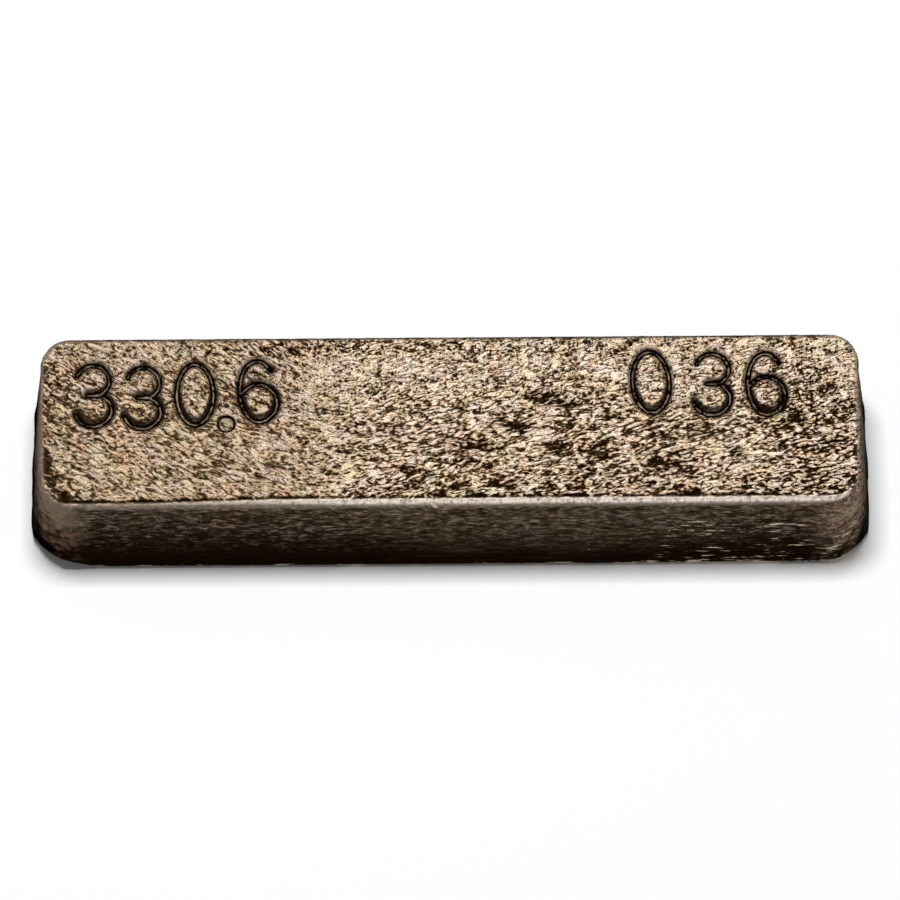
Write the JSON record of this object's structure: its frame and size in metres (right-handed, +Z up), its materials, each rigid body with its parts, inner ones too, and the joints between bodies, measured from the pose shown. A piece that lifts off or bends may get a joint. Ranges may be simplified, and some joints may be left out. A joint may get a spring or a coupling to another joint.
{
  "type": "silver bar",
  "caption": "Hand-poured silver bar: a long cast ingot with sloping walls, round corners and a rough upper face, lying on its poured base.",
  "frame": {"origin": "middle of the flat base that the bar rests on", "axes": "+X along the bar's length, +Y across its width, +Z up from the base to the rough upper face"},
  "size_m": [0.0952, 0.0232, 0.0156],
  "materials": {
    "cast_silver": "satin"
  },
  "bodies": {
    "root": {"silver_bar": "cast_silver"}
  },
  "joints": []
}
